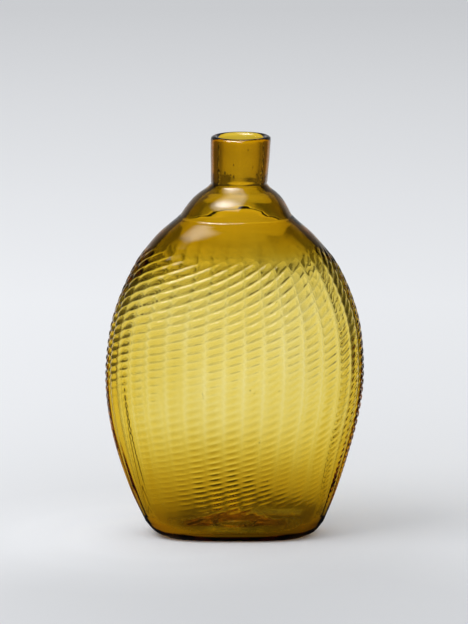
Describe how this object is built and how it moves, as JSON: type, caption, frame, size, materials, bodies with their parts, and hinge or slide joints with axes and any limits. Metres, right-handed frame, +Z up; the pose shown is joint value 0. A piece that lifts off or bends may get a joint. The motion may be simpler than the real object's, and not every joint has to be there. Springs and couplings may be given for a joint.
{
  "type": "glass pocket flask",
  "caption": "Flattened egg-shaped pocket flask of olive-amber glass with a short straight open neck, a ridge below it, swirled ribs crossed by upright ribs, and a pushed-up base.",
  "frame": {"origin": "on the surface that the foot rests on, under the middle of the flask's widest part", "axes": "+Z up through the neck, +X to the right across the broad face, +Y from the front broad face to the back one"},
  "size_m": [0.106, 0.0538, 0.165],
  "materials": {
    "amber_glass": "clear olive-amber glass, fire-polished, with fine seeds and light rib marks",
    "broken_glass": "the same glass left rough and sparkling where the rod was broken off"
  },
  "bodies": {
    "root": {"first_gather": "amber_glass", "second_gather": "amber_glass", "pontil_scar": "broken_glass"}
  },
  "joints": []
}
